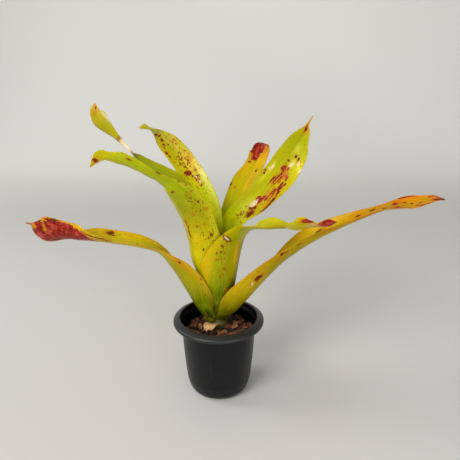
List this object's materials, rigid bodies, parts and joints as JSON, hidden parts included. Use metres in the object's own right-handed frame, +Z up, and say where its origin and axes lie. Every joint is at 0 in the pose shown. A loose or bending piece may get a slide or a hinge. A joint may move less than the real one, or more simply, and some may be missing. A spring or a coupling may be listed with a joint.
{
  "type": "potted neoregelia bromeliad",
  "caption": "Neoregelia bromeliad with overlapping strap leaves, yellow-green with crimson tips, standing in a round black nursery pot filled with bark mix.",
  "frame": {"origin": "centre of the pot's flat base, on the surface that it stands on", "axes": "+Z up; +X towards the tip of the long right-hand leaf, along the plant's greatest spread; -Y is the side the plant is seen from"},
  "size_m": [0.3612, 0.1349, 0.2731],
  "materials": {
    "pot_plastic": "satin black nursery plastic",
    "bark": "rough damp bark chips",
    "stem_tissue": "dull plant tissue",
    "dry_leaf": "dry and fibrous",
    "leaf_left_long_skin": "waxy satin leaf",
    "leaf_right_long_skin": "waxy satin leaf",
    "leaf_front_skin": "waxy satin leaf",
    "leaf_left_front_skin": "waxy satin leaf",
    "leaf_left_back_skin": "waxy satin leaf",
    "leaf_back_skin": "waxy satin leaf",
    "leaf_right_skin": "waxy satin leaf",
    "leaf_back_left_skin": "waxy satin leaf",
    "leaf_young_outer_skin": "waxy satin leaf",
    "leaf_young_inner_skin": "waxy satin leaf"
  },
  "bodies": {
    "root": {"pot": "pot_plastic", "bark_mix": "bark", "stem": "stem_tissue", "dry_leaf_base": "dry_leaf", "leaf_left_long": "leaf_left_long_skin", "leaf_right_long": "leaf_right_long_skin", "leaf_front": "leaf_front_skin", "leaf_left_front": "leaf_left_front_skin", "leaf_left_back": "leaf_left_back_skin", "leaf_back": "leaf_back_skin", "leaf_right": "leaf_right_skin", "leaf_back_left": "leaf_back_left_skin", "leaf_young_outer": "leaf_young_outer_skin", "leaf_young_inner": "leaf_young_inner_skin"}
  },
  "joints": []
}
